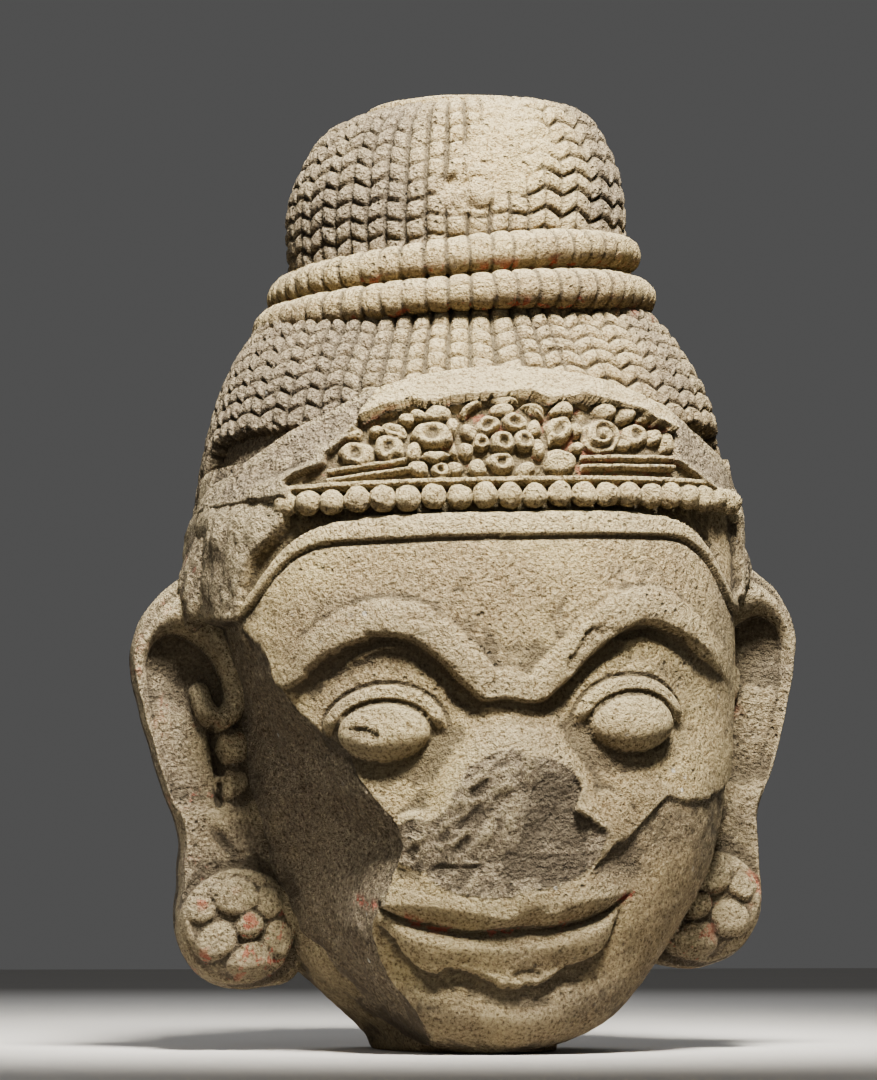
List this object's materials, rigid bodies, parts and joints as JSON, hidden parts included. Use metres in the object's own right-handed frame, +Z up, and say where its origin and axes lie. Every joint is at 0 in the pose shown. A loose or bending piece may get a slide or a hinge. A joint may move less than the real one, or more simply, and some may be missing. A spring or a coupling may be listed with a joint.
{
  "type": "stone guardian head",
  "caption": "Carved sandstone head of a glaring guardian with a braided topknot bound by cords, a broken floral diadem and long ears with flower earrings, cut flat below",
  "frame": {"origin": "on the flat underside that the head rests on, on the head's midline", "axes": "+Z up, the face looks along -Y, the head's left is +X"},
  "size_m": [0.46, 0.3723, 0.6483],
  "materials": {
    "sandstone": "weathered, grainy grey-buff sandstone with greyer broken surfaces"
  },
  "bodies": {
    "root": {"guardian_head": "sandstone"}
  },
  "joints": []
}
